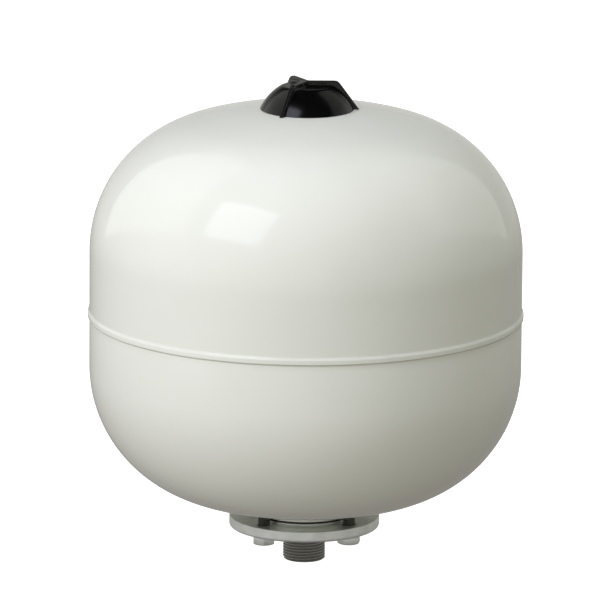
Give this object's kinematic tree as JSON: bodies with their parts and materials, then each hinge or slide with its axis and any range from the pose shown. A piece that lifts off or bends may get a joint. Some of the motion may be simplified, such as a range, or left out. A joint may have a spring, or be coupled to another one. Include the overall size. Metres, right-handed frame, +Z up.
{
  "type": "expansion vessel",
  "caption": "Domed steel expansion vessel with a rubber bag, a bolted flange with a threaded nipple, and a winged cap over its air valve.",
  "frame": {"origin": "centre of the pipe nipple's open end", "axes": "+Z up along the vessel's axis, from the nipple to the air valve; +X to the right as seen from the front, -Y towards the viewer"},
  "size_m": [0.2721, 0.272, 0.3058],
  "materials": {
    "shell_paint": "gloss stoved enamel, warm white",
    "flange_zinc": "dull zinc plate",
    "bolt_zinc": "bright zinc plate",
    "nipple_steel": "dark oiled steel, cut thread",
    "inner_steel": "bare steel and weld metal",
    "spring_steel": "drawn wire",
    "brass": "turned",
    "rubber": "matt moulded rubber",
    "cap_plastic": "gloss moulded black"
  },
  "bodies": {
    "vessel": {"upper_shell": "shell_paint", "lower_shell": "shell_paint", "girth_weld": "shell_paint", "neck_flange": "shell_paint", "neck_weld": "inner_steel", "bladder": "rubber", "flange_cover": "flange_zinc", "nipple": "nipple_steel", "nipple_weld": "inner_steel", "flange_bolts": "bolt_zinc", "valve_boss": "inner_steel", "boss_weld": "shell_paint", "valve_stem": "brass", "stem_oring": "rubber", "core_body": "brass", "core_gasket": "rubber", "core_spring": "spring_steel"},
    "valve_pin": {"core_pin": "brass", "core_seal": "rubber"},
    "cap_insert": {"cap_seal": "rubber"},
    "cap": {"valve_cap": "cap_plastic"}
  },
  "joints": [
    {"name": "pin_press", "type": "slide", "parent": "vessel", "child": "valve_pin", "axis": [0, 0, -1], "range_m": [0, 0.0015], "stiffness_N_per_m": 800, "springref_m": -0.003, "deforming": ["core_spring"]},
    {"name": "cap_lift", "type": "slide", "parent": "vessel", "child": "cap_insert", "axis": [0, 0, 1], "range_m": [0, 0.05]},
    {"name": "cap_turn", "type": "hinge", "parent": "cap_insert", "child": "cap", "pos_m": [0, 0, 0.2971], "axis": [0, 0, 1], "continuous": true}
  ]
}
